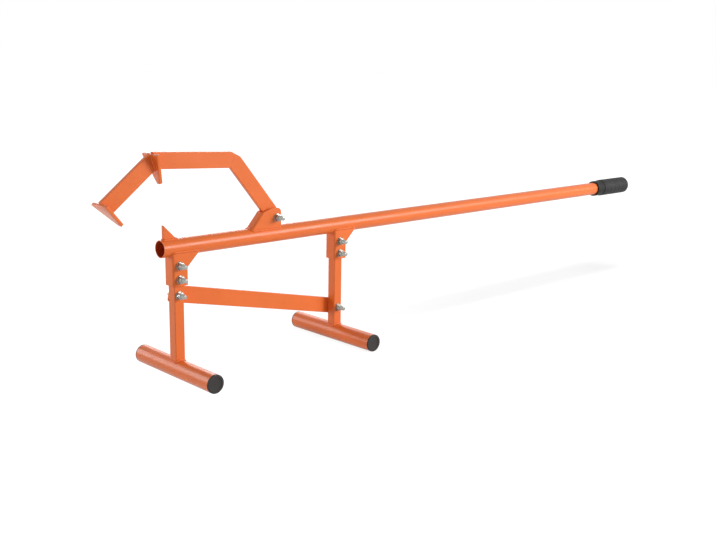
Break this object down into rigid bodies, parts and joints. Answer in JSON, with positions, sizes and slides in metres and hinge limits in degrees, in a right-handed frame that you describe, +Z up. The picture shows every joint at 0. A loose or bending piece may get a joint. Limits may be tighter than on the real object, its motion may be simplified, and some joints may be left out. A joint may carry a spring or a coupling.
{
  "type": "felling lever",
  "caption": "Long steel lever tube on bolted T-shaped legs, with a pivoting toothed log hook, a front spike and a rubber hand grip, for rolling and lifting logs off the ground.",
  "frame": {"origin": "on the floor under the middle of the overall box", "axes": "+X along the lever from the hook to the hand grip, +Y across the lever towards the brace, +Z up"},
  "size_m": [1.6234, 0.24, 0.4166],
  "materials": {
    "orange_powder_coat": "satin orange powder coat on welded steel",
    "zinc_plated_steel": "bright zinc plate on hex hardware",
    "black_rubber": "moulded matte black rubber with grip grooves",
    "black_plastic": "moulded matte black plastic",
    "turned_steel": "plain turned steel, lightly oiled"
  },
  "bodies": {
    "frame": {"lever_tube": "orange_powder_coat", "hand_grip": "black_rubber", "front_spike": "orange_powder_coat", "front_leg_bracket": "orange_powder_coat", "front_post": "orange_powder_coat", "front_foot": "orange_powder_coat", "front_foot_plug_near": "black_plastic", "front_foot_plug_far": "black_plastic", "front_leg_bolts": "zinc_plated_steel", "front_leg_nuts": "zinc_plated_steel", "front_leg_washers": "zinc_plated_steel", "rear_leg_bracket": "orange_powder_coat", "rear_post": "orange_powder_coat", "rear_foot": "orange_powder_coat", "rear_foot_plug_near": "black_plastic", "rear_foot_plug_far": "black_plastic", "rear_leg_bolts": "zinc_plated_steel", "rear_leg_nuts": "zinc_plated_steel", "rear_leg_washers": "zinc_plated_steel", "leg_brace": "orange_powder_coat", "brace_bolts": "zinc_plated_steel", "brace_nuts": "zinc_plated_steel", "brace_washers": "zinc_plated_steel", "pivot_bracket": "orange_powder_coat", "pivot_bush": "turned_steel", "pivot_spacers": "zinc_plated_steel", "pivot_bolt": "zinc_plated_steel", "pivot_nut": "zinc_plated_steel", "pivot_washers": "zinc_plated_steel"},
    "hook": {"hook_rear_arm": "orange_powder_coat", "hook_top_arm": "orange_powder_coat", "hook_front_arm": "orange_powder_coat", "hook_corner_tooth": "orange_powder_coat", "hook_tip_tooth": "orange_powder_coat"}
  },
  "joints": [
    {"name": "hook_swing", "type": "hinge", "parent": "frame", "child": "hook", "pos_m": [-0.43875, 0, 0.277], "axis": [0, 1, 0], "range_deg": [0, 125]}
  ]
}
